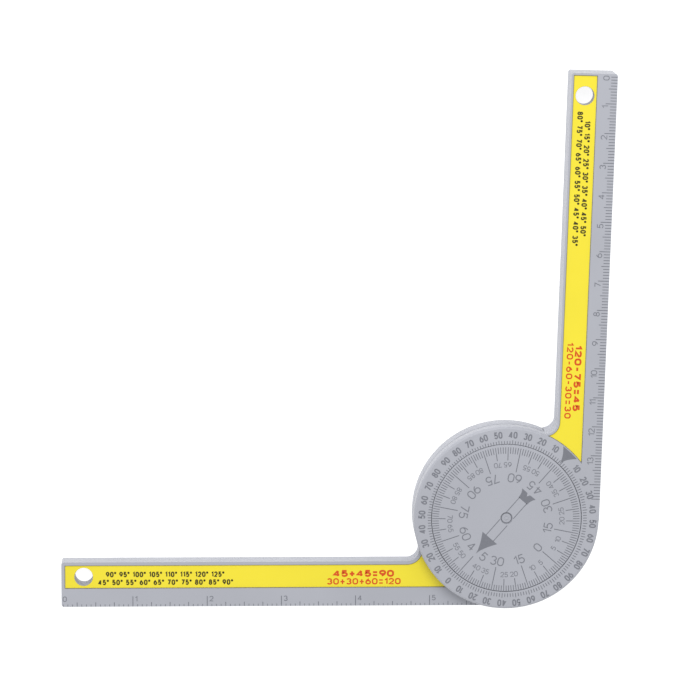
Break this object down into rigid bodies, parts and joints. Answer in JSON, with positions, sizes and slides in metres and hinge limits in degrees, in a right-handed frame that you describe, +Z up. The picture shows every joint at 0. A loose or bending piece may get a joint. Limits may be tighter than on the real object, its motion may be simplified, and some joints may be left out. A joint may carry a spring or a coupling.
{
  "type": "miter saw protractor",
  "caption": "Plastic miter saw protractor: two ruler arms that turn on a round head with a dial inside a numbered ring, with a yellow label and a hanging hole in each arm.",
  "frame": {"origin": "pivot axis of the head at the underside, on the solid middle of the hub", "axes": "+Z up out of the dial, -X along the lower arm from the pivot to its end; the upper arm lies 91.6 degrees from the lower arm, close to +Y"},
  "size_m": [0.1875, 0.1835, 0.0136],
  "materials": {
    "grey_plastic": "satin moulded ABS, light bluish grey",
    "yellow_label": "satin printed plastic label",
    "white_nylon": "plain nylon",
    "spring_steel": "spring steel strip",
    "screw_steel": "zinc plated"
  },
  "bodies": {
    "lower": {"lower_arm": "grey_plastic", "dial_disc": "grey_plastic", "lower_label": "yellow_label", "glide_ring": "white_nylon", "wave_washer": "spring_steel", "dial_screws": "screw_steel"},
    "upper": {"upper_arm": "grey_plastic", "upper_label": "yellow_label"}
  },
  "joints": [
    {"name": "arm_pivot", "type": "hinge", "parent": "lower", "child": "upper", "pos_m": [0, 0, 0], "axis": [0, 0, 1], "range_deg": [-88.4, 91.6]}
  ]
}
